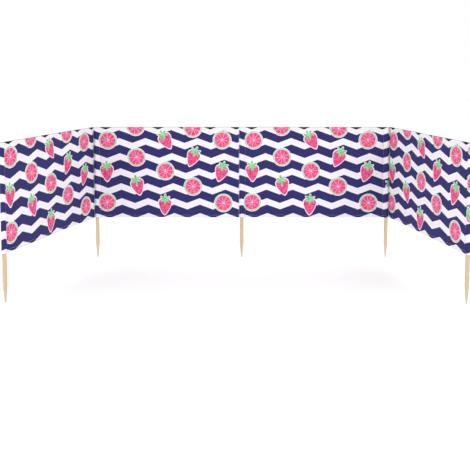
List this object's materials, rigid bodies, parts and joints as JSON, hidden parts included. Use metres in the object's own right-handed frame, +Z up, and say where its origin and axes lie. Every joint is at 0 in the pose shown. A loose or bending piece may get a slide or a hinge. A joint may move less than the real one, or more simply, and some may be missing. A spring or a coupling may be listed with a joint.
{
  "type": "beach windbreak",
  "caption": "Folding screen of striped cloth in equal bays on pointed wooden poles in sewn sleeves, standing round in a U.",
  "frame": {"origin": "blunt tip of the middle pole, the lowest point, about 300 mm under the sand when it is set up", "axes": "+Z up along the poles, +X along the two middle bays to the right, the end bays fold towards -Y"},
  "size_m": [3.2744, 1.2286, 1.135],
  "materials": {
    "pole_wood": "plain sanded softwood",
    "cloth": "woven polyester printed in navy and white chevrons with pink fruit",
    "hem": "turned-over hem of the same printed cloth"
  },
  "bodies": {
    "right_middle_bay": {"pole_3": "pole_wood", "sleeve_3": "cloth", "bay_3_cloth": "cloth", "top_hem_3": "hem", "bottom_hem_3": "hem", "sleeve_4": "cloth", "pole_4": "pole_wood"},
    "left_middle_bay": {"bay_2_cloth": "cloth", "top_hem_2": "hem", "bottom_hem_2": "hem", "sleeve_2": "cloth", "pole_2": "pole_wood"},
    "left_end_bay": {"bay_1_cloth": "cloth", "top_hem_1": "hem", "bottom_hem_1": "hem", "sleeve_1": "cloth", "pole_1": "pole_wood"},
    "right_end_bay": {"bay_4_cloth": "cloth", "top_hem_4": "hem", "bottom_hem_4": "hem", "sleeve_5": "cloth", "pole_5": "pole_wood"}
  },
  "joints": [
    {"name": "middle_fold", "type": "hinge", "parent": "right_middle_bay", "child": "left_middle_bay", "pos_m": [-0.024, 0, 0], "axis": [0, 0, 1], "range_deg": [-60, 60]},
    {"name": "left_fold", "type": "hinge", "parent": "left_middle_bay", "child": "left_end_bay", "pos_m": [-1.274, 0, 0], "axis": [0, 0, 1], "range_deg": [-170.9, 29.1]},
    {"name": "right_fold", "type": "hinge", "parent": "right_middle_bay", "child": "right_end_bay", "pos_m": [1.274, 0, 0], "axis": [0, 0, -1], "range_deg": [-176.4, 23.6]}
  ]
}
